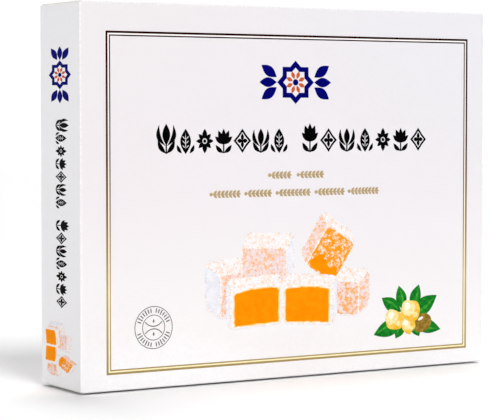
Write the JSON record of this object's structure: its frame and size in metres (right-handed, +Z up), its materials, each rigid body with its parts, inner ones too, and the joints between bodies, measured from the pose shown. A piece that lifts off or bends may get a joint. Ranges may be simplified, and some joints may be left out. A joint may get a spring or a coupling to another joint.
{
  "type": "shut sweet carton",
  "caption": "Shut tuck-end paperboard carton for sweets, standing on its long edge: a flat upright box with folded edges, tucked closures and a thumb notch at the back.",
  "frame": {"origin": "centre of the base, on the surface the carton stands on", "axes": "+X to the right along the front wall, -Y out of the front wall, +Z up"},
  "size_m": [0.22, 0.04, 0.172],
  "materials": {
    "coated_board": "white coated board with a satin varnish"
  },
  "bodies": {
    "root": {"carton": "coated_board"}
  },
  "joints": []
}
